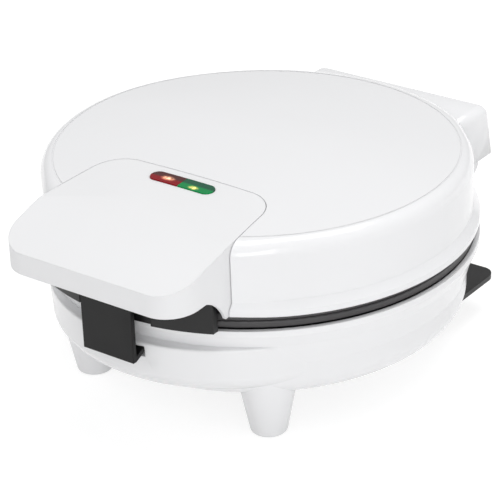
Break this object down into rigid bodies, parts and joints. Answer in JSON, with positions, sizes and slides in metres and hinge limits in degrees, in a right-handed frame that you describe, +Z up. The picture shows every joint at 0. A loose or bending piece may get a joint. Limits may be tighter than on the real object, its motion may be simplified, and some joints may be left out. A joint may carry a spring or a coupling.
{
  "type": "wafer maker",
  "caption": "Round countertop wafer maker: hinged crowned lid with a broad handle, two indicator lamps, a hook latch, patterned cooking plates and conical feet.",
  "frame": {"origin": "on the lid's upright axis, at the level of the surface the feet stand on, in the middle of the bounding box's bottom face", "axes": "+Z up; +Y from the handle towards the hinge; +X to the side of the green lamp"},
  "size_m": [0.23, 0.278, 0.1185],
  "materials": {
    "lid_plastic": "gloss",
    "base_plastic": "satin gloss",
    "handle_plastic": "fine satin",
    "black_plastic": "satin",
    "coated_plate": "non-stick coating",
    "heater_sheath": "annealed",
    "reflector_sheet": "bright",
    "screw_steel": "zinc plated",
    "pin_steel": "drawn",
    "thermostat_metal": "plain",
    "fuse_metal": "plain",
    "terminal_plastic": "matte",
    "gland_rubber": "matte",
    "pad_rubber": "matte",
    "red_lens": "clear moulded",
    "green_lens": "clear moulded",
    "holder_plastic": "matte",
    "lamp_glass": "clear"
  },
  "bodies": {
    "base": {"base_housing": "base_plastic", "foot_pads": "pad_rubber", "lower_plate": "coated_plate", "lower_heater": "heater_sheath", "lower_reflector": "reflector_sheet", "lower_plate_screws": "screw_steel", "thermostat": "thermostat_metal", "thermal_fuse": "fuse_metal", "terminal_block": "terminal_plastic", "cord_gland": "gland_rubber", "cord_wrap": "black_plastic", "cord_wrap_screws": "screw_steel", "hinge_pin": "pin_steel"},
    "lid": {"lid_housing": "lid_plastic", "handle_cover": "handle_plastic", "handle_underside": "black_plastic", "handle_screws": "screw_steel", "lens_red": "red_lens", "lens_green": "green_lens", "lamp_holder": "holder_plastic", "neon_lamps": "lamp_glass", "upper_plate": "coated_plate", "upper_heater": "heater_sheath", "upper_reflector": "reflector_sheet", "reflector_screws": "screw_steel", "rim_screws": "screw_steel", "latch_pin": "pin_steel"},
    "latch": {"latch": "black_plastic"}
  },
  "joints": [
    {"name": "lid_hinge", "type": "hinge", "parent": "base", "child": "lid", "pos_m": [0, 0.124, 0.0685], "axis": [-1, 0, 0], "range_deg": [0, 100]},
    {"name": "latch_pivot", "type": "hinge", "parent": "lid", "child": "latch", "pos_m": [0, -0.122, 0.082], "axis": [-1, 0, 0], "range_deg": [0, 25]}
  ]
}
